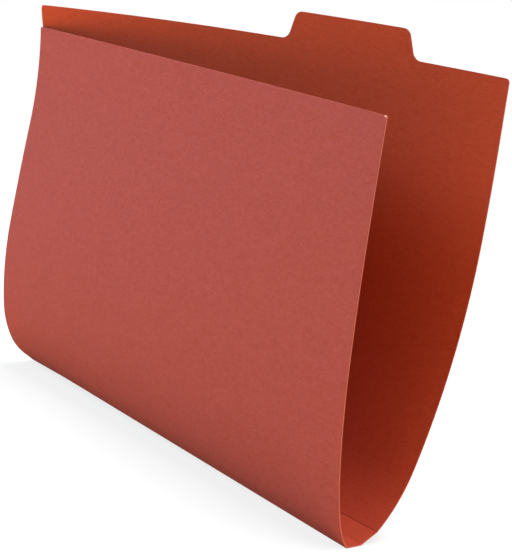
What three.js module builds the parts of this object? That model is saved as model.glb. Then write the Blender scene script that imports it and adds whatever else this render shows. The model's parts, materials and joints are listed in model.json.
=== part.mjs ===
// A letter-size card file folder with one index tab, standing half open on its scored base.
//
// Millimetres. X runs along the scores, from the far end (minus) to the near end (plus). Y runs from the
// front leaf to the back leaf, and Z is up from the table. Every shape is worked out on the middle surface
// of the card, and its solid lies half the card's thickness to each side. A slope is an angle above the
// table in degrees, measured from the outer side of the leaf or strip: over 90 it leans back inwards.

import * as THREE from 'three';

// Card
const CARD = 0.5;                     // thickness
const SCORE_CLEARANCE = 0.3;          // between a score's bead and the card on each side of it

// Blank, measured flat
const WIDTH = 298.45;                 // along the scores, 11 3/4 in
const LEAF_HEIGHT = 228.6;            // from the main fold, the rear score, to the top edge, 9 in
const REAR_STRIP = 11.2;              // rear score to middle score
const FRONT_STRIP = 9.5;              // middle score to front score
const FRONT_CORNER = 1;               // radius of the front leaf's top corners
const BACK_CORNER = 2;                // radius of the back leaf's top corners

// Index tab, on the top edge of the back leaf
const TAB_CENTRE = 61.5;              // from the middle of the leaf towards the near end
const TAB_TOP = 65;                   // width between its sides at the top
const TAB_SLANT = 4.5;                // how far each side leans out on its way down
const TAB_HEIGHT = 14.5;
const TAB_CORNER = 3;                 // radius of its top corners
const TAB_FILLET = 3.5;               // radius where its sides run out into the leaf's edge

// Stance. The rear strip lies flat at the far end, the front strip at the near end.
const REAR_STRIP_SLOPE = 28;          // of the rear strip at the near end
const FRONT_STRIP_SLOPE = 34;         // of the front strip at the far end
const LEAF_GAP = 1;                   // least gap between the leaves, near the far top corner

// Bend of each leaf: slopes at stations up from its score, turning evenly from one to the next. A station
// is placed by its share of the leaf's height.
const FRONT_BEND = [
  { at: 0, far: 34, near: 49.5 },
  { at: 0.07, far: 58, near: 72 },
  { at: 0.19, far: 81, near: 80 },
  { at: 0.43, far: 94, near: 86 },
  { at: 0.72, far: 96, near: 88.5 },
  { at: 1, far: 83, near: 89.5 },
];
const BACK_BEND = [
  { at: 0, far: 64.5, near: 44.5 },
  { at: 0.15, far: 83.5, near: 71.5 },
  { at: 0.39, far: 101.5, near: 80.5 },
  { at: 0.66, far: 112.5, near: 90 },
  { at: 0.87, far: 111, near: 92.5 },
  { at: 1, far: 101, near: 92.5 },
];

// Facets
const COLUMN_STEP = 15;               // widest facet along the scores
const ROW_STEP = 20;                  // tallest facet up a leaf
const ROW_TURN = 6;                   // largest turn of the card from one facet to the next, degrees
const CORNER_STEPS = 4;               // facets round a corner or fillet
const BEAD_SIDES = 12;

// Search for the lean that brings the leaves together
const LEAN_LIMIT = 12;                // degrees either way
const LEAN_HALVINGS = 30;
const GAP_STEP = 2;                   // up the leaves' far edges, where their gap is measured

const BEAD_RADIUS = CARD / 2;
const SCORE_CUT = BEAD_RADIUS + SCORE_CLEARANCE;    // card stops this far from a score's line
const FRONT_LEAF_HEIGHT = LEAF_HEIGHT - REAR_STRIP - FRONT_STRIP;
const FAR_END = -WIDTH / 2;
const NEAR_END = WIDTH / 2;
const BACKWARDS = 1;
const FORWARDS = -1;

const radians = THREE.MathUtils.degToRad;
const lerp = THREE.MathUtils.lerp;

function material(red, green, blue) {
  return new THREE.MeshStandardMaterial({
    color: new THREE.Color().setRGB(red, green, blue, THREE.SRGBColorSpace),
    roughness: 0.85,
    metalness: 0,
  });
}

// Scores: straight lines in space, each with its far and its near end
const middleScore = {
  far: new THREE.Vector3(FAR_END, 0, CARD / 2),
  near: new THREE.Vector3(NEAR_END, 0, CARD / 2),
};
const rearScore = {
  far: fromMiddle('far', BACKWARDS, REAR_STRIP, 0),
  near: fromMiddle('near', BACKWARDS, REAR_STRIP, REAR_STRIP_SLOPE),
};
const frontScore = {
  far: fromMiddle('far', FORWARDS, FRONT_STRIP, FRONT_STRIP_SLOPE),
  near: fromMiddle('near', FORWARDS, FRONT_STRIP, 0),
};

function fromMiddle(end, side, distance, slope) {
  return upSlope(middleScore[end], side, distance, slope);
}

// The point a distance up a straight slope on one side.
function upSlope(start, side, distance, slope) {
  const angle = radians(slope);
  return start.clone().add(new THREE.Vector3(0, side * Math.cos(angle), Math.sin(angle)).multiplyScalar(distance));
}

// Evenly spaced numbers from one value to another, both included, no further apart than a step.
function spread(from, to, step) {
  const count = Math.max(1, Math.ceil(Math.abs(to - from) / step));
  return Array.from({ length: count + 1 }, (_, i) => lerp(from, to, i / count));
}

// How far a round corner draws an edge in, at a distance from the edge that the corner ends on.
function cornerInset(distance, radius) {
  const into = Math.max(radius - distance, 0);
  return radius - Math.sqrt(radius * radius - into * into);
}

// Distances from an edge at which the facets of a round corner start and end, nearest last.
function cornerRows(radius) {
  return Array.from({ length: CORNER_STEPS + 1 }, (_, i) =>
    radius * (1 - Math.sin((i / CORNER_STEPS) * Math.PI / 2)));
}

// Slope of a leaf at a station, for a share of the way from the far end to the near one.
function stationSlope(leaf, station, share) {
  return radians(lerp(station.far + leaf.lean, station.near, share));
}

// Each stretch of a leaf between two stations, with its distances up from the score.
function stretches(leaf) {
  return leaf.bend.slice(1).map((next, i) => {
    const from = leaf.bend[i];
    return { from, next, start: from.at * leaf.height, end: next.at * leaf.height };
  });
}

// Where a leaf's middle surface is, a distance up from its score, and how it slopes there. Between two
// stations the card follows an arc.
function onLeaf(leaf, share, up) {
  const at = leaf.score.far.clone().lerp(leaf.score.near, share);
  let slope = stationSlope(leaf, leaf.bend[0], share);
  for (const { next, start, end } of stretches(leaf)) {
    if (up <= start) {
      break;
    }
    const length = Math.min(up, end) - start;
    const turn = (stationSlope(leaf, next, share) - slope) * length / (end - start);
    const chord = turn === 0 ? length : length * Math.sin(turn / 2) / (turn / 2);
    at.y += leaf.side * chord * Math.cos(slope + turn / 2);
    at.z += chord * Math.sin(slope + turn / 2);
    slope += turn;
  }
  return { at, slope, normal: new THREE.Vector3(0, -Math.sin(slope), leaf.side * Math.cos(slope)) };
}

// Heights of the facet rows of a leaf, up to where its top corners start.
function leafRows(leaf, top) {
  const rows = [SCORE_CUT];
  for (const { from, next, start, end } of stretches(leaf)) {
    const turn = Math.max(Math.abs(next.far - from.far), Math.abs(next.near - from.near));
    const step = Math.min(ROW_STEP, (end - start) * ROW_TURN / turn);
    rows.push(...spread(Math.max(start, SCORE_CUT), Math.min(end, top), step).slice(1));
  }
  return rows;
}

// A sheet of card: points on its middle surface, each with the direction of the upper face, and
// triangles between them. Its solid has an upper and a lower face, joined all round the open edges.
class Sheet {
  points = [];
  triangles = [];

  add({ at, normal }) {
    return this.points.push({ at, normal }) - 1;
  }

  // Fills the stretch between two rows of equally many points. Each cell folds along one diagonal, from
  // the second point of the lower row to the first point of the upper one.
  fill(lower, upper) {
    for (let i = 0; i + 1 < lower.length; i += 1) {
      this.triangles.push([lower[i], lower[i + 1], upper[i]]);
      this.triangles.push([lower[i + 1], upper[i + 1], upper[i]]);
    }
  }

  openEdges() {
    const edges = new Map();
    for (const [a, b, c] of this.triangles) {
      for (const [from, to] of [[a, b], [b, c], [c, a]]) {
        if (!edges.delete(`${to} ${from}`)) {
          edges.set(`${from} ${to}`, [from, to]);
        }
      }
    }
    return [...edges.values()];
  }

  geometry() {
    const count = this.points.length;
    const face = (sign) => this.points.flatMap(({ at, normal }) =>
      at.clone().addScaledVector(normal, sign * CARD / 2).toArray());
    const index = [];
    for (const [a, b, c] of this.triangles) {
      index.push(a, b, c);
      index.push(a + count, c + count, b + count);
    }
    for (const [from, to] of this.openEdges()) {
      index.push(to, from, from + count);
      index.push(to, from + count, to + count);
    }
    const solid = new THREE.BufferGeometry();
    solid.setAttribute('position', new THREE.Float32BufferAttribute([...face(1), ...face(-1)], 3));
    solid.setIndex(index);
    solid.computeVertexNormals();
    return solid;
  }
}

// The bead pressed into the card along a score: a round rod as thick as the card.
function scoreBead(score) {
  const length = score.far.distanceTo(score.near);
  const bead = new THREE.CylinderGeometry(BEAD_RADIUS, BEAD_RADIUS, length, BEAD_SIDES);
  const along = score.near.clone().sub(score.far).normalize();
  bead.applyQuaternion(new THREE.Quaternion().setFromUnitVectors(new THREE.Vector3(0, 1, 0), along));
  bead.translate(...score.far.clone().lerp(score.near, 0.5).toArray());
  return bead;
}

// A strip of the base, between the middle score and an outer one. It lies flat on the table at one end,
// and folds up along its diagonal to the raised end of the outer score.
function baseStrip(side, outer, raisedEnd, slope) {
  const sheet = new Sheet();
  const flat = new THREE.Vector3(0, 0, 1);
  const raised = new THREE.Vector3(0, -side * Math.sin(radians(slope)), Math.cos(radians(slope)));
  const ends = ['far', 'near'];
  const inner = ends.map((end) => sheet.add({ at: upSlope(middleScore[end], side, SCORE_CUT, 0), normal: flat }));
  const rim = ends.map((end) => sheet.add(end === raisedEnd
    ? { at: upSlope(outer[end], -side, SCORE_CUT, -slope), normal: raised }
    : { at: upSlope(outer[end], -side, SCORE_CUT, 0), normal: flat }));
  const [front, back] = side === BACKWARDS ? [inner, rim] : [rim, inner];
  sheet.fill(front, back);
  return sheet.geometry();
}

// Points across a leaf between two places, at one height.
function acrossLeaf(sheet, leaf, places, up) {
  return places.map((x) => sheet.add(onLeaf(leaf, (x - FAR_END) / WIDTH, up)));
}

// A leaf's sheet up to its top edge, with round top corners. The places along the top edge at which
// another part of the outline starts stay where they are at every height.
function leafSheet(leaf, fixed) {
  const sheet = new Sheet();
  const corner = cornerRows(leaf.corner).slice(1).map((below) => leaf.height - below);
  const heights = [...leafRows(leaf, leaf.height - leaf.corner), ...corner];
  const stops = [FAR_END, ...fixed, NEAR_END];
  let edge = [];
  for (const up of heights) {
    const inset = cornerInset(leaf.height - up, leaf.corner);
    const drawn = stops.map((x) => THREE.MathUtils.clamp(x, FAR_END + inset, NEAR_END - inset));
    const places = stops.slice(1).flatMap((stop, i) => {
      const cells = spread(stops[i], stop, COLUMN_STEP);
      const row = cells.map((x) => THREE.MathUtils.mapLinear(x, stops[i], stop, drawn[i], drawn[i + 1]));
      return i === 0 ? row : row.slice(1);
    });
    const row = acrossLeaf(sheet, leaf, places, up).map((id, i) => ({ id, x: places[i] }));
    if (edge.length > 0) {
      sheet.fill(edge.map((point) => point.id), row.map((point) => point.id));
    }
    edge = row;
  }
  return { sheet, edge };
}

function frontLeaf() {
  return leafSheet(front, []).sheet.geometry();
}

// The back leaf with its tab, one piece of card. The tab is flat: it runs on from the leaf's top edge in
// the direction that the leaf has at the middle of the tab.
function backLeaf() {
  const half = TAB_TOP / 2 + TAB_SLANT;
  const foot = [TAB_CENTRE - half - TAB_FILLET, TAB_CENTRE + half + TAB_FILLET];
  const { sheet, edge } = leafSheet(back, foot);
  const ends = foot.map((x) => onLeaf(back, (x - FAR_END) / WIDTH, back.height).at);
  const { slope, normal } = onLeaf(back, (TAB_CENTRE - FAR_END) / WIDTH, back.height);
  const sideWidth = (up) => half - TAB_SLANT * up / TAB_HEIGHT
    + cornerInset(up, TAB_FILLET) - cornerInset(TAB_HEIGHT - up, TAB_CORNER);
  const heights = [
    ...cornerRows(TAB_FILLET).reverse().slice(1),
    ...cornerRows(TAB_CORNER).map((below) => TAB_HEIGHT - below),
  ];
  let lower = edge.filter(({ x }) => x >= foot[0] - SCORE_CUT && x <= foot[1] + SCORE_CUT).map(({ id }) => id);
  const cells = lower.length - 1;
  for (const up of heights) {
    const upper = lower.map((_, i) => {
      const x = TAB_CENTRE + lerp(-sideWidth(up), sideWidth(up), i / cells);
      const at = ends[0].clone().lerp(ends[1], (x - foot[0]) / (foot[1] - foot[0]));
      at.y += up * Math.cos(slope);
      at.z += up * Math.sin(slope);
      return sheet.add({ at, normal });
    });
    sheet.fill(lower, upper);
    lower = upper;
  }
  return sheet.geometry();
}

// Points up the far edge of a leaf's middle surface.
function farEdge(leaf) {
  return spread(0, leaf.height, GAP_STEP).map((up) => onLeaf(leaf, 0, up).at);
}

// Least distance along Y from the front leaf's far edge to that of the back leaf, between middle surfaces,
// from the height at which the leaves stand clear of the base strips.
function gapAtFarEnd(leaf) {
  const behind = farEdge(leaf);
  const inFront = farEdge(front).filter((point) => point.z > REAR_STRIP + FRONT_STRIP);
  return Math.min(...inFront.map((point) => {
    const above = behind.findIndex(({ z }) => z > point.z);
    const [low, high] = [behind[above - 1], behind[above]];
    return THREE.MathUtils.mapLinear(point.z, low.z, high.z, low.y, high.y) - point.y;
  }));
}

// How far the far end of the back leaf leans in, on top of its bend, until the leaves all but touch.
function leanToFront() {
  let apart = -LEAN_LIMIT;
  let together = LEAN_LIMIT;
  for (let i = 0; i < LEAN_HALVINGS; i += 1) {
    const lean = (apart + together) / 2;
    if (gapAtFarEnd({ ...back, lean }) > LEAF_GAP + CARD) {
      apart = lean;
    } else {
      together = lean;
    }
  }
  return apart;
}

const front = {
  score: frontScore, side: FORWARDS, bend: FRONT_BEND, height: FRONT_LEAF_HEIGHT, corner: FRONT_CORNER, lean: 0,
};
const back = {
  score: rearScore, side: BACKWARDS, bend: BACK_BEND, height: LEAF_HEIGHT, corner: BACK_CORNER, lean: 0,
};
back.lean = leanToFront();

const outside = material(0.66, 0.28, 0.22);
const inside = material(0.62, 0.16, 0.12);
const pressed = material(0.45, 0.08, 0.05);

const folder = new THREE.Group();

function addPiece(name, geometry, colour) {
  const mesh = new THREE.Mesh(geometry, colour);
  mesh.name = name;
  folder.add(mesh);
}

addPiece('back_leaf', backLeaf(), inside);
addPiece('rear_score', scoreBead(rearScore), pressed);
addPiece('rear_base_strip', baseStrip(BACKWARDS, rearScore, 'near', REAR_STRIP_SLOPE), inside);
addPiece('middle_score', scoreBead(middleScore), pressed);
addPiece('front_base_strip', baseStrip(FORWARDS, frontScore, 'far', FRONT_STRIP_SLOPE), inside);
addPiece('front_score', scoreBead(frontScore), pressed);
addPiece('front_leaf', frontLeaf(), outside);

// The origin is on the table, below the middle of the standing folder.
const box = new THREE.Box3().setFromObject(folder);
const middle = box.getCenter(new THREE.Vector3());
folder.position.set(-middle.x, -middle.y, -box.min.z);

export default folder;
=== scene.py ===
"""A letter-size card file folder with one index tab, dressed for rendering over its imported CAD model.

The folder is one sheet of card with three scores. It is drawn flat and then bent. On the flat blank, X
runs along the scores from the far end to the near one, Y from the front leaf's top edge to the back
leaf's, with zero on the middle score, and Z through the card, with plus on the inner side.
"""
import json
import math
from collections import defaultdict

import bpy
from bpy.props import FloatProperty, FloatVectorProperty, PointerProperty
from mathutils import Matrix, Vector


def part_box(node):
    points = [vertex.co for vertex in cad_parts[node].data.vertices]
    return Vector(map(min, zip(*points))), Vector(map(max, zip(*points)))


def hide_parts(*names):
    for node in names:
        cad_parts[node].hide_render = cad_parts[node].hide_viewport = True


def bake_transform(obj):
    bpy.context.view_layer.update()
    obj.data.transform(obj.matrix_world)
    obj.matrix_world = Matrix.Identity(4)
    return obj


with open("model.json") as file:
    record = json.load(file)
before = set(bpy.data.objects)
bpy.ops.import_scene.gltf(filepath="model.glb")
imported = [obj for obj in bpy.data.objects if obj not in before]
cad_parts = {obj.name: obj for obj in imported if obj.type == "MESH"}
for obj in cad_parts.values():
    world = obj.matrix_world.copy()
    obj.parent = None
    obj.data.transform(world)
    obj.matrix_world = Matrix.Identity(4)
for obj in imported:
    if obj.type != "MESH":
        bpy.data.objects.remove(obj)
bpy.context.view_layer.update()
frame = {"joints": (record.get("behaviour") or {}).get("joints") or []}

bl_info = {
    "name": "Card file folder",
    "version": (1, 0, 0),
    "blender": (4, 5, 0),
    "location": "3D View > Sidebar > Folder",
    "description": "Bends a scored and die-cut card blank into a standing file folder",
    "category": "Object",
}

MM = 0.001

# Bend of each leaf: slopes at stations up from its outer score, turning evenly from one to the next. A
# station is placed by its share of the leaf's height. A slope is an angle above the table in degrees,
# measured from the leaf's outer side: over 90 it leans back inwards.
FRONT_BEND = [
    {"at": 0, "far": 34, "near": 49.5},
    {"at": 0.07, "far": 58, "near": 72},
    {"at": 0.19, "far": 81, "near": 80},
    {"at": 0.43, "far": 94, "near": 86},
    {"at": 0.72, "far": 96, "near": 88.5},
    {"at": 1, "far": 83, "near": 89.5},
]
REAR_BEND = [
    {"at": 0, "far": 64.5, "near": 44.5},
    {"at": 0.15, "far": 83.5, "near": 71.5},
    {"at": 0.39, "far": 101.5, "near": 80.5},
    {"at": 0.66, "far": 112.5, "near": 90},
    {"at": 0.87, "far": 111, "near": 92.5},
    {"at": 1, "far": 101, "near": 92.5},
]

# Mesh of the blank
COLUMN_STEP = 4 * MM
ROW_STEP = 4 * MM
STRIP_STEP = 1.2 * MM
SCORE_ROWS = [-0.8 * MM, -0.5 * MM, -0.25 * MM, 0, 0.25 * MM, 0.5 * MM, 0.8 * MM]
CORNER_STEPS = 8
SHARP_ANGLE = math.radians(30)        # edges sharper than this are shaded sharp
SAME_PLACE = 0.001 * MM               # places closer than this are one and the same
ROUNDING = 1e-9                       # slack for rounding in a count of steps

# Grain of the card, from broad to fine: how close each pattern is, and how much of it shows
CLOUD_SCALE = 60
CLOUD_TONE = 0.05
FLOC_SCALE = 240
FLOC_TONE = 0.1
DYE_SCALE = 320
DYE_DETAIL = 2
DYE_TONE = 0.3
FIBRE_SCALE = 1400
FIBRE_ROUGH = 0.6
FIBRE_TONE = 0.38
FIBRE_SQUEEZE = 0.35                  # fibres lie along the scores

# How much each of red, green and blue follows the fibres' tone and the dye's uneven shade
FIBRE_TINT = (1, 2.1, 2.5)
DYE_TINT = (-0.3, 0.2, 1)

# Surface of the card
ROUGHNESS = 0.82
ROUGHNESS_SPREAD = 0.1
SPECULAR = 0.08
BUMP_STRENGTH = 0.25
BUMP_HEIGHT = 0.05 * MM

# Painted shade along a score, where the crease darkens: half its width, and how strong it is
CREASE_SHADE_REACH = 0.32 * MM
CREASE_SHADE_STRENGTH = 0.95

# Painted highlight at the front leaf's near top corner, a pale spot where the curled corner catches the
# light: half its size, and where it has faded out
GLINT_ALONG = 0.8 * MM
GLINT_DOWN = 0.4 * MM
GLINT_FADE = 1.5                       # in half sizes from its middle

# How strongly the cut edges are painted pale as a highlight: a little at the leaves' tops, and more at the
# folder's two ends, which face the light
TOP_HIGHLIGHT = 0.2
END_HIGHLIGHT = 0.8
END_REACH = 0.5 * MM                  # how far in from an end it counts as the end

# Half the width of the band across a score that blend_over measures out; the card is not bent over it here
BEND_REACH = 0.8 * MM

# Stage
WHITE = (1, 1, 1, 1)
FLOOR_SIZE = 6
TABLE_WHITE = 0.75                    # share of plain white in the table near the folder
FADE_START = 0.4                      # from this far out the table fades to plain white
FADE_END = 1.2
WORLD_STRENGTH = 0.15
SENSOR_WIDTH = 36                     # in millimetres, as lenses have it
CLIP_START = 0.05

# Studio lamps, all of them round and aimed at the folder's middle
LAMP_TARGET = (0, 0, 0.12)
LAMPS = [
    {"name": "key", "place": (-0.6, -1.5, 1.5), "size": 1.2, "power": 6.8, "shade": (0.99, 1.01, 1)},
    {"name": "left", "place": (-1.0, -1.4, 0.9), "size": 1.0, "power": 14.8, "shade": (0.8, 1.13, 1.13)},
    {"name": "corner", "place": (-0.55, -0.7, 0.75), "size": 0.5, "power": 1.9, "shade": (0.5, 1.15, 1.5)},
    {"name": "top", "place": (0, 0.3, 2.0), "size": 1.2, "power": 42, "shade": (1.03, 0.97, 1.01)},
    {"name": "near top", "place": (0.8, 0.2, 1.6), "size": 0.8, "power": 10, "shade": (1.01, 0.99, 0.98)},
    {"name": "low", "place": (0.3, -1.2, 0.12), "size": 0.5, "power": 0.9, "shade": (1.05, 1, 0.65)},
    {"name": "behind", "place": (-0.9, 0.9, 1.4), "size": 1.0, "power": 9, "shade": (1, 1, 1)},
]


def length(name, description, default):
    return FloatProperty(name=name, description=description, default=default, min=0, unit="LENGTH",
                         subtype="DISTANCE", precision=5)


def angle(name, description, degrees):
    return FloatProperty(name=name, description=description, default=math.radians(degrees), unit="ROTATION",
                         subtype="ANGLE")


def share(name, description, default):
    return FloatProperty(name=name, description=description, default=default, min=0, max=1,
                         subtype="FACTOR")


def colour(name, description, default):
    return FloatVectorProperty(name=name, description=description, default=default, size=3, min=0, max=1,
                               subtype="COLOR_GAMMA")


class FolderBlank(bpy.types.PropertyGroup):
    """Sizes of the flat blank"""
    card: length("Card", "Thickness of the card", 0.5 * MM)
    width: length("Width", "Along the scores", 298.45 * MM)
    leaf_height: length("Leaf height", "From the main fold to the back leaf's top edge", 228.6 * MM)
    rear_strip: length("Rear strip", "From the rear score to the middle one", 11.2 * MM)
    front_strip: length("Front strip", "From the middle score to the front one", 9.5 * MM)
    front_corner: length("Front corner", "Radius of the front leaf's top corners", 1 * MM)
    back_corner: length("Back corner", "Radius of the back leaf's top corners", 2 * MM)
    tab_centre: length("Tab centre", "From the middle of the leaf towards the near end", 61.5 * MM)
    tab_top: length("Tab top", "Width between the tab's sides at the top", 65 * MM)
    tab_slant: length("Tab slant", "How far each side of the tab leans out on its way down", 4.5 * MM)
    tab_height: length("Tab height", "From the leaf's top edge to the tab's", 14.5 * MM)
    tab_corner: length("Tab corner", "Radius of the tab's top corners", 3 * MM)
    tab_fillet: length("Tab fillet", "Radius where the tab's sides run out into the edge", 3.5 * MM)
    edge_break: length("Edge break", "Width of the soft rim along every cut edge", 0.06 * MM)


class FolderStance(bpy.types.PropertyGroup):
    """How the folder stands and how its scores are pressed"""
    rear_slope: angle("Rear strip slope", "Slope of the rear strip at the near end", 28)
    front_slope: angle("Front strip slope", "Slope of the front strip at the far end", 34)
    rear_lean: angle("Rear lean", "Turn of the back leaf's far end towards the front leaf", -0.07)
    fold_reach: length("Fold reach", "Half the width of card that bends at a score", 0.8 * MM)
    press_depth: length("Press depth", "Depth of a score on the inner side", 0.08 * MM)
    press_reach: length("Press reach", "Half the width of a score", 0.6 * MM)
    middle_press: share("Middle press", "Depth of the middle score as a share of the others'", 0.3)


class FolderFinish(bpy.types.PropertyGroup):
    """Colours of the card and the stage"""
    # One card on both sides: the outside's pinker shade beside the inside's is partly a painted cool sheen
    # on the outer side
    outside_and_sheen: colour("Outside and sheen", "Card on the outer side", (0.625, 0.305, 0.315))
    inside: colour("Inside", "Card on the inner side", (0.69, 0.28, 0.195))
    # Colour of the painted highlight along the cut edges, strongest at the folder's two ends
    cut_edge_highlight: colour("Cut edge highlight", "Raw fibres along a cut edge", (0.90, 0.59, 0.60))
    # Colour of the painted highlight at the front leaf's near top corner, where the curled corner catches
    # the light
    corner_glint: colour("Corner glint", "Bare fibres at the front leaf's near top corner", (0.96, 0.72, 0.68))
    # Colour of the painted shade along each score's crease
    pressed: colour("Crease shade", "Card crushed along a score", (0.42, 0.06, 0.03))
    floor: colour("Floor", "Light that the table throws back", (0.97, 0.76, 0.42))


class FolderCamera(bpy.types.PropertyGroup):
    """Where the folder is seen from"""
    place: FloatVectorProperty(name="Place", description="Where the camera stands", size=3, unit="LENGTH",
                               subtype="TRANSLATION", default=(572.24 * MM, -481.43 * MM, 252.29 * MM))
    azimuth: angle("Azimuth", "Turn from looking along the folder's depth", 47.97)
    elevation: angle("Elevation", "How far the camera looks down", 11.76)
    roll: angle("Roll", "Tilt of the frame", 9.03)
    lens: FloatProperty(name="Lens", description="Focal length on a sensor 36 mm wide", default=98.9,
                        unit="CAMERA")


class Value:
    """A socket that takes part in expressions: each operation adds its Math node."""

    def __init__(self, nodes, socket):
        self.nodes = nodes
        self.socket = socket

    def __add__(self, other):
        return self.nodes.math("ADD", self, other)

    def __radd__(self, other):
        return self.nodes.math("ADD", other, self)

    def __sub__(self, other):
        return self.nodes.math("SUBTRACT", self, other)

    def __rsub__(self, other):
        return self.nodes.math("SUBTRACT", other, self)

    def __mul__(self, other):
        return self.nodes.math("MULTIPLY", self, other)

    def __rmul__(self, other):
        return self.nodes.math("MULTIPLY", other, self)

    def __truediv__(self, other):
        return self.nodes.math("DIVIDE", self, other)


class Nodes:
    """A node tree that is written as expressions."""

    def __init__(self, tree):
        self.tree = tree
        tree.nodes.clear()

    def add(self, kind, settings=None, inputs=None, output=0):
        """Adds a node: its settings are set first, then the values or links of its sockets."""
        node = self.tree.nodes.new(kind)
        for name, value in (settings or {}).items():
            setattr(node, name, value)
        for key, value in (inputs or {}).items():
            if isinstance(value, Value):
                self.tree.links.new(value.socket, node.inputs[key])
            else:
                node.inputs[key].default_value = value
        return Value(self, node.outputs[output]) if node.outputs else node

    def math(self, operation, *values):
        return self.add("ShaderNodeMath", {"operation": operation}, dict(enumerate(values)))

    def split(self, vector):
        node = self.add("ShaderNodeSeparateXYZ", inputs={0: vector}).socket.node
        return [Value(self, output) for output in node.outputs]

    def join(self, x, y, z):
        return self.add("ShaderNodeCombineXYZ", inputs={0: x, 1: y, 2: z})

    def clamp(self, value):
        return self.add("ShaderNodeClamp", inputs={0: value})

    def blend(self, part, first, second):
        """A colour part of the way from one to another."""
        return self.add("ShaderNodeMix", {"data_type": "RGBA"}, {0: part, 6: first, 7: second}, output=2)

    def noise(self, vector, scale, detail=3, rough=0.5):
        return self.add("ShaderNodeTexNoise", {"noise_dimensions": "3D"},
                        {"Vector": vector, "Scale": scale, "Detail": detail, "Roughness": rough})

    def group_inputs(self, kinds):
        for name, kind in kinds.items():
            self.tree.interface.new_socket(name=name, in_out="INPUT", socket_type=kind)
        node = self.tree.nodes.new("NodeGroupInput")
        return {name: Value(self, node.outputs[name]) for name in kinds}


def station_inputs(side, bend, height=0, lean=0):
    """Names and values of a leaf's station inputs, for a leaf's height and its far end's extra lean."""
    values = {}
    for number, station in enumerate(bend, start=1):
        values[f"{side} station {number} height"] = station["at"] * height
        values[f"{side} station {number} far slope"] = math.radians(station["far"]) + lean
        values[f"{side} station {number} near slope"] = math.radians(station["near"])
    return values


def soft_split(nodes, distance, reach):
    """A distance's part past zero, rounded over a reach, and how far the turn at zero is done."""
    done = nodes.clamp(distance / (reach * 2) + 0.5)
    past = reach * done * done + nodes.math("MAXIMUM", distance - reach, 0)
    return past, done


def leaf_path(nodes, given, side, count, nearness, past):
    """How far out and up the card comes past a leaf's score, its slope at the score and its slope there."""
    slopes = []
    heights = []
    for number in range(1, count + 1):
        far = given[f"{side} station {number} far slope"]
        near = given[f"{side} station {number} near slope"]
        slopes.append(far + (near - far) * nearness)
        heights.append(given[f"{side} station {number} height"])
    out = up = 0
    slope = slopes[0]
    for i in range(count):
        run = nodes.math("MAXIMUM", past - heights[i], 0)
        turn = None
        if i + 1 < count:
            span = heights[i + 1] - heights[i]
            run = nodes.math("MINIMUM", run, span)
            turn = (slopes[i + 1] - slopes[i]) * run / span
        chord = run
        heading = slope
        if turn:
            half = turn / 2
            square = half * half
            # An arc's chord is its length by sin(half) / half, here as the start of its series
            chord = run * (1 - square / 6 + square * square / 120)
            heading = slope + half
            slope = slope + turn
        out = chord * nodes.math("COSINE", heading) + out
        up = chord * nodes.math("SINE", heading) + up
    return out, up, slopes[0], slope


def pressed_groove(nodes, distance, reach):
    """How deep a score is pressed at a distance from its line, from 0 to 1."""
    inside = nodes.math("MAXIMUM", 1 - nodes.math("POWER", distance / reach, 2), 0)
    return inside * inside


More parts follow.
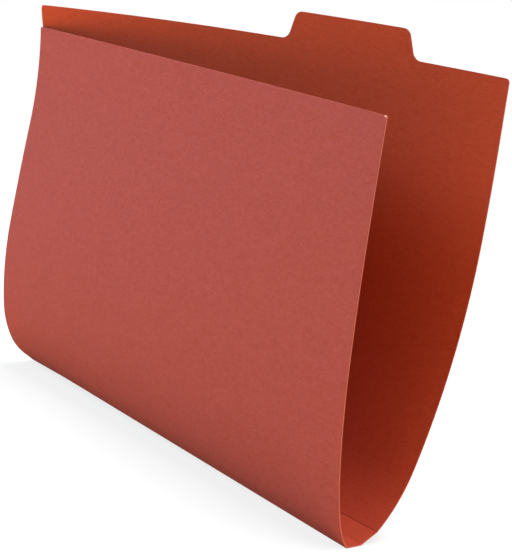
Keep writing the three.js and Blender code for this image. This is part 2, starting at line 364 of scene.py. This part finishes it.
def bend_tree():
    """The Geometry Nodes tree that bends the flat blank. Every sheet of the folder passes through it."""
    tree = bpy.data.node_groups.new("bend card", "GeometryNodeTree")
    nodes = Nodes(tree)
    kinds = {"Blank": "NodeSocketGeometry", "Card material": "NodeSocketMaterial",
             "Middle score": "NodeSocketVector"}
    for name in ("Width", "Front strip", "Rear strip", "Front strip slope", "Rear strip slope",
                 "Fold reach", "Press depth", "Press reach", "Middle press"):
        kinds[name] = "NodeSocketFloat"
    for side, bend in (("Front", FRONT_BEND), ("Rear", REAR_BEND)):
        kinds.update(dict.fromkeys(station_inputs(side, bend), "NodeSocketFloat"))
    given = nodes.group_inputs(kinds)
    tree.interface.new_socket(name="Folded card", in_out="OUTPUT", socket_type="NodeSocketGeometry")

    flat = nodes.add("GeometryNodeInputPosition")
    x, along, depth = nodes.split(flat)
    nearness = x / given["Width"] + 0.5
    reach = given["Fold reach"]

    sides = {}
    for side, sign, bend in (("Front", -1, FRONT_BEND), ("Rear", 1, REAR_BEND)):
        strip = given[f"{side} strip"]
        steepest = given[f"{side} strip slope"]
        raised = nearness if sign > 0 else 1 - nearness
        reach_out = strip * (1 + (nodes.math("COSINE", steepest) - 1) * raised)
        reach_up = strip * nodes.math("SINE", steepest) * raised
        travelled, started = soft_split(nodes, along * sign, reach)
        past, done = soft_split(nodes, along * sign - strip, reach)
        on_strip = (travelled - past) / strip
        out, up, foot, slope = leaf_path(nodes, given, side, len(bend), nearness, past)
        strip_slope = nodes.math("ARCTAN2", reach_up, reach_out)
        sides[side] = {
            "out": reach_out * on_strip + out,
            "up": reach_up * on_strip + up,
            "turn": strip_slope * started + (foot - strip_slope) * done + (slope - foot),
            "press": pressed_groove(nodes, along * sign - strip, given["Press reach"]),
        }
    front, rear = sides["Front"], sides["Rear"]
    heading = rear["turn"] - front["turn"]
    middle = pressed_groove(nodes, along, given["Press reach"])
    press = front["press"] + rear["press"] + middle * given["Middle press"]
    lift = depth - given["Press depth"] * press
    folded = nodes.join(x, rear["out"] - front["out"] - lift * nodes.math("SINE", heading),
                        rear["up"] + front["up"] + lift * nodes.math("COSINE", heading))
    placed = nodes.add("ShaderNodeVectorMath", {"operation": "ADD"}, {0: folded, 1: given["Middle score"]})

    kept = nodes.add("GeometryNodeStoreNamedAttribute", {"data_type": "FLOAT_VECTOR", "domain": "POINT"},
                     {"Geometry": given["Blank"], "Name": "flat", "Value": flat})
    bent = nodes.add("GeometryNodeSetPosition", inputs={"Geometry": kept, "Position": placed})
    whole = nodes.add("GeometryNodeRealizeInstances", inputs={0: bent})
    finished = nodes.add("GeometryNodeSetMaterial",
                         inputs={"Geometry": whole, "Material": given["Card material"]})
    nodes.add("NodeGroupOutput", inputs={0: finished})
    return tree


def spread(start, stop, step):
    """Even places from one value to another, both included, no further apart than a step."""
    count = max(1, math.ceil(abs(stop - start) / step - ROUNDING))
    return [start + (stop - start) * i / count for i in range(count + 1)]


def corner_inset(distance, radius):
    """How far a round corner draws an edge in, at a distance from the edge that the corner ends on."""
    into = max(radius - distance, 0)
    return radius - math.sqrt(radius * radius - into * into)


def corner_rows(radius):
    """Distances from an edge at which the facets of a round corner start and end, nearest last."""
    return [radius * (1 - math.sin(i / CORNER_STEPS * math.pi / 2)) for i in range(CORNER_STEPS + 1)]


class Blank:
    """A flat outline filled with rows of cells."""

    def __init__(self):
        self.points = []
        self.cells = []

    def row(self, places, along):
        start = len(self.points)
        self.points.extend(Vector((x, along)) for x in places)
        return list(range(start, len(self.points)))

    def fill(self, lower, upper):
        for i in range(len(lower) - 1):
            self.cells.append((lower[i], lower[i + 1], upper[i + 1], upper[i]))

    def open_edges(self):
        edges = {}
        for cell in self.cells:
            for i, start in enumerate(cell):
                end = cell[(i + 1) % len(cell)]
                if edges.pop((end, start), None) is None:
                    edges[(start, end)] = True
        return list(edges)

    def slab(self, name, seams, card, edge_break):
        """A closed mesh of solid card. Its cut edges have a soft rim, and its seams are square."""
        edges = self.open_edges()
        cut = [edge for edge in edges if not any(
            all(abs(self.points[i].y - seam) < SAME_PLACE for i in edge) for seam in seams)]
        outward = defaultdict(Vector)
        for a, b in cut:
            side = self.points[b] - self.points[a]
            normal = Vector((side.y, -side.x, 0)).normalized()
            outward[a] += normal
            outward[b] += normal
        vertices = []
        levels = []
        for height, inset in ((card / 2, edge_break), (card / 2 - edge_break, 0),
                              (edge_break - card / 2, 0), (-card / 2, edge_break)):
            level = {}
            for i, point in enumerate(self.points):
                if inset == 0 and i not in outward:
                    continue
                level[i] = len(vertices)
                place = Vector((point.x, point.y, height))
                if i in outward:
                    place -= outward[i].normalized() * inset
                vertices.append(place)
            levels.append(level)
        upper, rim_upper, rim_lower, lower = levels
        faces = [[upper[i] for i in cell] for cell in self.cells]
        faces += [[lower[i] for i in reversed(cell)] for cell in self.cells]
        for a, b in cut:
            for top, below in zip(levels, levels[1:]):
                faces.append([top[a], below[a], below[b], top[b]])
        cut = set(cut)
        for a, b in edges:
            if (a, b) in cut:
                continue
            faces.append([upper[a], lower[a], lower[b], upper[b]])
            if a in outward:
                faces.append([rim_upper[a], rim_lower[a], lower[a], upper[a]])
            if b in outward:
                faces.append([upper[b], lower[b], rim_lower[b], rim_upper[b]])
        mesh = bpy.data.meshes.new(name)
        mesh.from_pydata(vertices, [], faces)
        mesh.validate()
        mesh.shade_smooth()
        mesh.set_sharp_from_angle(angle=SHARP_ANGLE)
        return mesh


def rows_over(score, start, stop, step, step_past):
    """Row places from one value to another, with close rows at the score between them."""
    side = 1 if stop > start else -1
    close = [score + side * offset for offset in SCORE_ROWS]
    return spread(start, close[0], step)[:-1] + close + spread(close[-1], stop, step_past)[1:]


def leaf_blank(sizes, outer, edge, corner, fixed=()):
    """A leaf with its score and half of its strip, as a flat blank, and the row along its top edge."""
    blank = Blank()
    side = 1 if edge > outer else -1
    end = sizes.width / 2
    along = rows_over(outer, outer / 2, edge - side * corner, STRIP_STEP, ROW_STEP)
    along += [edge - side * below for below in corner_rows(corner)[1:]]
    stops = [-end, *fixed, end]
    last = None
    for y in along:
        inset = corner_inset(abs(edge - y), corner)
        places = []
        for a, b in zip(stops, stops[1:]):
            drawn_a, drawn_b = (min(max(stop, inset - end), end - inset) for stop in (a, b))
            cells = [drawn_a + (x - a) / (b - a) * (drawn_b - drawn_a) for x in spread(a, b, COLUMN_STEP)]
            places += cells if not places else cells[1:]
        row = blank.row(places, y)
        if last:
            blank.fill(last, row) if side > 0 else blank.fill(row, last)
        last = row
    return blank, last


def add_tab(sizes, blank, edge_row, edge):
    """Carries the back leaf's blank on into its index tab."""
    half = sizes.tab_top / 2 + sizes.tab_slant
    foot = half + sizes.tab_fillet
    last = [i for i in edge_row if abs(blank.points[i].x - sizes.tab_centre) < foot + SAME_PLACE]
    heights = corner_rows(sizes.tab_fillet)[-2::-1]
    shoulder = sizes.tab_height - sizes.tab_corner
    heights += spread(heights[-1], shoulder, ROW_STEP)[1:]
    heights += [sizes.tab_height - below for below in corner_rows(sizes.tab_corner)[1:]]
    cells = len(last) - 1
    for up in heights:
        reach = (half - sizes.tab_slant * up / sizes.tab_height + corner_inset(up, sizes.tab_fillet)
                 - corner_inset(sizes.tab_height - up, sizes.tab_corner))
        places = [sizes.tab_centre + reach * (2 * i / cells - 1) for i in range(cells + 1)]
        row = blank.row(places, edge + up)
        blank.fill(last, row)
        last = row


def score_point(node):
    """The middle of a score's line."""
    low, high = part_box(node)
    return (low + high) / 2


def fold(context, name, blank, seams):
    """Makes a flat blank solid, bends it with the tree and returns the result as a plain object."""
    sizes = context.scene.folder_blank
    stance = context.scene.folder_stance
    mesh = blank.slab(name, seams, sizes.card, sizes.edge_break)
    start = score_point("middle_score")
    tree = bpy.data.node_groups.get("bend card") or bend_tree()
    flat = bpy.data.objects.new(f"{name} flat", mesh)
    context.scene.collection.objects.link(flat)
    modifier = flat.modifiers.new("bend card", "NODES")
    modifier.node_group = tree
    values = {
        "Card material": card_material(context),
        "Middle score": [0, start.y, start.z],
        "Width": sizes.width,
        "Front strip": sizes.front_strip,
        "Rear strip": sizes.rear_strip,
        "Front strip slope": stance.front_slope,
        "Rear strip slope": stance.rear_slope,
        "Fold reach": stance.fold_reach,
        "Press depth": stance.press_depth,
        "Press reach": stance.press_reach,
        "Middle press": stance.middle_press,
        **station_inputs("Front", FRONT_BEND,
                         sizes.leaf_height - sizes.rear_strip - sizes.front_strip),
        **station_inputs("Rear", REAR_BEND, sizes.leaf_height, stance.rear_lean),
    }
    for item in tree.interface.items_tree:
        if item.in_out == "INPUT" and item.name in values:
            modifier[item.identifier] = values[item.name]
    evaluated = flat.evaluated_get(context.evaluated_depsgraph_get())
    folded = bpy.data.meshes.new_from_object(evaluated)
    folded.name = name
    if len(folded.vertices) != len(mesh.vertices):
        raise RuntimeError(f"{name}: the bend tree changed the sheet's mesh")
    flat.modifiers.remove(modifier)
    bpy.data.objects.remove(flat)
    piece = bpy.data.objects.new(name, folded)
    context.scene.collection.objects.link(piece)
    return piece


def blend_over(piece, after, behind, ahead):
    """Reads the joint after a score and the way across it, then bakes the sheet's placement into its mesh.
    """
    hinge = next(joint for joint in frame["joints"] if joint["child"] == after)
    line = Vector(hinge["axis"])
    across = score_point(ahead) - score_point(behind)
    across = (across - line * across.dot(line)).normalized() * BEND_REACH
    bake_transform(piece)


def card_material(context):
    """Dyed card: brick red, finely fibred, with a painted cool sheen on the outer side, a painted highlight
    along the cut edges and at the front leaf's near top corner, and painted shade along the scores.
    """
    found = bpy.data.materials.get("dyed card")
    if found:
        return found
    sizes = context.scene.folder_blank
    stance = context.scene.folder_stance
    finish = context.scene.folder_finish
    material = bpy.data.materials.new("dyed card")
    material.use_nodes = True
    nodes = Nodes(material.node_tree)
    flat = nodes.add("ShaderNodeAttribute", {"attribute_name": "flat"}, output="Vector")
    x, along, depth = nodes.split(flat)

    cloud = nodes.noise(flat, CLOUD_SCALE)
    floc = nodes.noise(flat, FLOC_SCALE)
    fibre = nodes.noise(nodes.join(x * FIBRE_SQUEEZE, along, depth), FIBRE_SCALE, rough=FIBRE_ROUGH)
    dye = nodes.noise(flat, DYE_SCALE, DYE_DETAIL)

    inner = nodes.clamp(depth / sizes.card + 0.5)
    # The outer side's colour holds a painted cool sheen as well as the card's own colour
    base = nodes.blend(inner, linear(finish.outside_and_sheen), linear(finish.inside))
    tone = (cloud - 0.5) * CLOUD_TONE + (floc - 0.5) * FLOC_TONE + (fibre - 0.5) * FIBRE_TONE
    uneven = (dye - 0.5) * DYE_TONE
    tints = [1 + tone * by_tone + uneven * by_dye for by_tone, by_dye in zip(FIBRE_TINT, DYE_TINT)]
    lined = nodes.add("ShaderNodeVectorMath", {"operation": "MULTIPLY"}, {0: base, 1: nodes.join(*tints)})
    # Painted shade: a dark line along each score where shade falls in the crease, weaker at the middle
    # score
    for place, press in ((-sizes.front_strip, 1), (0, stance.middle_press), (sizes.rear_strip, 1)):
        line = nodes.clamp(1 - nodes.math("ABSOLUTE", (along - place) / CREASE_SHADE_REACH))
        lined = nodes.blend(line * (CREASE_SHADE_STRENGTH * press), lined, linear(finish.pressed))
    # Painted highlight: a pale spot on the outer side at the front leaf's near top corner, where the curled
    # corner catches the light
    corner = nodes.join((x - sizes.width / 2) / GLINT_ALONG + 1,
                        (along - sizes.rear_strip + sizes.leaf_height) / GLINT_DOWN - 1, 0)
    reach = nodes.add("ShaderNodeVectorMath", {"operation": "LENGTH"}, {0: corner}, output="Value")
    corner_glint = nodes.clamp(GLINT_FADE - reach)
    lined = nodes.blend(corner_glint * (1 - inner), lined, linear(finish.corner_glint))
    # Painted highlight: the cut edges' soft rim turns pale, a little at the leaves' tops and strongly at
    # the folder's two ends
    rim = nodes.clamp((sizes.card / 2 - nodes.math("ABSOLUTE", depth)) / sizes.edge_break)
    end = nodes.clamp((nodes.math("ABSOLUTE", x) - sizes.width / 2) / END_REACH + 1)
    highlight_share = TOP_HIGHLIGHT + (END_HIGHLIGHT - TOP_HIGHLIGHT) * end
    edged = nodes.blend(rim * highlight_share, lined, linear(finish.cut_edge_highlight))

    grain = nodes.add("ShaderNodeBump", inputs={
        "Strength": BUMP_STRENGTH,
        "Distance": BUMP_HEIGHT,
        "Height": fibre + floc,
    })
    surface = nodes.add("ShaderNodeBsdfPrincipled", inputs={
        "Base Color": edged,
        "Roughness": ROUGHNESS + (cloud - 0.5) * ROUGHNESS_SPREAD,
        "Specular IOR Level": SPECULAR,
        "Normal": grain,
    })
    nodes.add("ShaderNodeOutputMaterial", inputs={"Surface": surface})
    return material


def linear(shade):
    """A screen colour in the linear values that nodes take, by the sRGB formula, with full alpha."""
    return [*(c / 12.92 if c <= 0.04045 else ((c + 0.055) / 1.055) ** 2.4 for c in shade), 1]


class FOLDER_OT_front(bpy.types.Operator):
    """Makes the front leaf with its score and the front half of its strip"""
    bl_idname = "folder.front"
    bl_label = "Front leaf"

    def execute(self, context):
        sizes = context.scene.folder_blank
        outer = -sizes.front_strip
        edge = sizes.rear_strip - sizes.leaf_height
        blank, _ = leaf_blank(sizes, outer, edge, sizes.front_corner)
        piece = fold(context, "front_sheet", blank, [outer / 2])
        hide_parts("front_leaf", "front_score")
        blend_over(piece, "front", behind="middle_score", ahead="front_score")
        return {"FINISHED"}


class FOLDER_OT_back(bpy.types.Operator):
    """Makes the back leaf with its tab, its score and the rear half of its strip"""
    bl_idname = "folder.back"
    bl_label = "Back leaf"

    def execute(self, context):
        sizes = context.scene.folder_blank
        outer = sizes.rear_strip
        edge = sizes.rear_strip + sizes.leaf_height
        foot = sizes.tab_top / 2 + sizes.tab_slant + sizes.tab_fillet
        fixed = [sizes.tab_centre - foot, sizes.tab_centre + foot]
        blank, edge_row = leaf_blank(sizes, outer, edge, sizes.back_corner, fixed)
        add_tab(sizes, blank, edge_row, edge)
        piece = fold(context, "back_sheet", blank, [outer / 2])
        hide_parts("back_leaf", "rear_score")
        blend_over(piece, "back", behind="middle_score", ahead="rear_score")
        return {"FINISHED"}


class FOLDER_OT_base(bpy.types.Operator):
    """Makes the middle of the base: the middle score and half of each strip"""
    bl_idname = "folder.base"
    bl_label = "Base"

    def execute(self, context):
        sizes = context.scene.folder_blank
        seams = [-sizes.front_strip / 2, sizes.rear_strip / 2]
        blank = Blank()
        last = None
        for y in rows_over(0, seams[0], seams[1], STRIP_STEP, STRIP_STEP):
            row = blank.row(spread(-sizes.width / 2, sizes.width / 2, COLUMN_STEP), y)
            if last:
                blank.fill(last, row)
            last = row
        piece = fold(context, "base_sheet", blank, seams)
        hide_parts("front_base_strip", "middle_score", "rear_base_strip")
        blend_over(piece, "rear_base", behind="front_score", ahead="rear_score")
        return {"FINISHED"}


def seen_plainly(nodes):
    """1 where the camera looks, by a reflection or through glass too, and 0 where light falls."""
    camera, glossy, transmission = (nodes.add("ShaderNodeLightPath", output=f"Is {kind} Ray")
                                    for kind in ("Camera", "Glossy", "Transmission"))
    return nodes.clamp(camera + glossy + transmission)


def table_material(shade):
    """A pale table that takes the folder's shadow and fades to plain white away from it."""
    material = bpy.data.materials.new("pale table")
    material.use_nodes = True
    nodes = Nodes(material.node_tree)
    place = nodes.add("ShaderNodeTexCoord", output="Object")
    away = nodes.add("ShaderNodeVectorMath", {"operation": "LENGTH"}, {0: place}, output="Value")
    fade = nodes.clamp((away - FADE_START) / (FADE_END - FADE_START))
    white = TABLE_WHITE + (1 - TABLE_WHITE) * fade
    plain = seen_plainly(nodes)
    matte = nodes.add("ShaderNodeBsdfDiffuse", inputs={"Color": nodes.blend(plain, shade, WHITE)})
    glow = nodes.add("ShaderNodeEmission", inputs={"Color": WHITE, "Strength": 1})
    mixed = nodes.add("ShaderNodeMixShader", inputs={0: plain * white, 1: matte, 2: glow})
    nodes.add("ShaderNodeOutputMaterial", inputs={"Surface": mixed})
    return material


def area_light(scene, name, place, size, power, shade):
    """A round lamp aimed at the folder."""
    lamp = bpy.data.lights.new(name, "AREA")
    lamp.shape = "DISK"
    lamp.size = size
    lamp.energy = power
    lamp.color = shade
    body = bpy.data.objects.new(name, lamp)
    body.location = place
    body.rotation_euler = (Vector(LAMP_TARGET) - Vector(place)).to_track_quat("-Z", "Y").to_euler()
    scene.collection.objects.link(body)


def table(scene):
    """The table under the folder, which is part of the stage."""
    mesh = bpy.data.meshes.new("floor")
    half = FLOOR_SIZE / 2
    corners = [(-half, -half, 0), (half, -half, 0), (half, half, 0), (-half, half, 0)]
    mesh.from_pydata(corners, [], [(0, 1, 2, 3)])
    mesh.materials.append(table_material(linear(scene.folder_finish.floor)))
    floor = bpy.data.objects.new("floor", mesh)
    scene.collection.objects.link(floor)


def studio_world():
    """Soft light from all round, seen as plain white."""
    world = bpy.data.worlds.new("studio")
    world.use_nodes = True
    nodes = Nodes(world.node_tree)
    soft = nodes.add("ShaderNodeBackground", inputs={"Color": WHITE, "Strength": WORLD_STRENGTH})
    white = nodes.add("ShaderNodeBackground", inputs={"Color": WHITE, "Strength": 1})
    mixed = nodes.add("ShaderNodeMixShader", inputs={0: seen_plainly(nodes), 1: soft, 2: white})
    nodes.add("ShaderNodeOutputWorld", inputs={"Surface": mixed})
    return world


def photograph_camera(scene):
    """The camera at the photograph's place, turned by its three angles."""
    view = scene.folder_camera
    ahead = math.cos(view.elevation)
    forward = Vector((-math.sin(view.azimuth) * ahead, math.cos(view.azimuth) * ahead,
                      -math.sin(view.elevation)))
    right = forward.cross(Vector((0, 0, 1))).normalized()
    right.rotate(Matrix.Rotation(-view.roll, 3, forward))
    lens = bpy.data.cameras.new("camera")
    lens.sensor_fit = "HORIZONTAL"
    lens.sensor_width = SENSOR_WIDTH
    lens.lens = view.lens
    lens.clip_start = CLIP_START
    camera = bpy.data.objects.new("camera", lens)
    turned = Matrix((right, right.cross(forward), -forward)).transposed()
    camera.matrix_world = Matrix.Translation(view.place) @ turned.to_4x4()
    scene.collection.objects.link(camera)
    return camera


class FOLDER_OT_stage(bpy.types.Operator):
    """Sets up the floor, the soft studio lamps and the camera"""
    bl_idname = "folder.stage"
    bl_label = "Stage"

    def execute(self, context):
        scene = context.scene
        table(scene)
        for lamp in LAMPS:
            area_light(scene, **lamp)
        scene.world = studio_world()
        scene.camera = photograph_camera(scene)
        scene.view_settings.view_transform = "Standard"
        return {"FINISHED"}


class FOLDER_PT_sidebar(bpy.types.Panel):
    """Lists the folder's steps and sizes"""
    bl_idname = "FOLDER_PT_sidebar"
    bl_label = "Card file folder"
    bl_space_type = "VIEW_3D"
    bl_region_type = "UI"
    bl_category = "Folder"

    def draw(self, context):
        for operator in OPERATORS:
            self.layout.operator(operator.bl_idname)
        for name in GROUPS:
            group = getattr(context.scene, name)
            box = self.layout.box()
            for field in group.__annotations__:
                box.prop(group, field)


GROUPS = {
    "folder_blank": FolderBlank,
    "folder_stance": FolderStance,
    "folder_finish": FolderFinish,
    "folder_camera": FolderCamera,
}
OPERATORS = [FOLDER_OT_stage, FOLDER_OT_front, FOLDER_OT_base, FOLDER_OT_back]


def register():
    for name, group in GROUPS.items():
        bpy.utils.register_class(group)
        setattr(bpy.types.Scene, name, PointerProperty(type=group))
    for item in (*OPERATORS, FOLDER_PT_sidebar):
        bpy.utils.register_class(item)


def unregister():
    for item in reversed((*OPERATORS, FOLDER_PT_sidebar)):
        bpy.utils.unregister_class(item)
    for name, group in GROUPS.items():
        delattr(bpy.types.Scene, name)
        bpy.utils.unregister_class(group)


def main():
    register()
    bpy.ops.folder.stage()
    bpy.ops.folder.front()
    bpy.ops.folder.base()
    bpy.ops.folder.back()


if __name__ == "__main__":
    main()
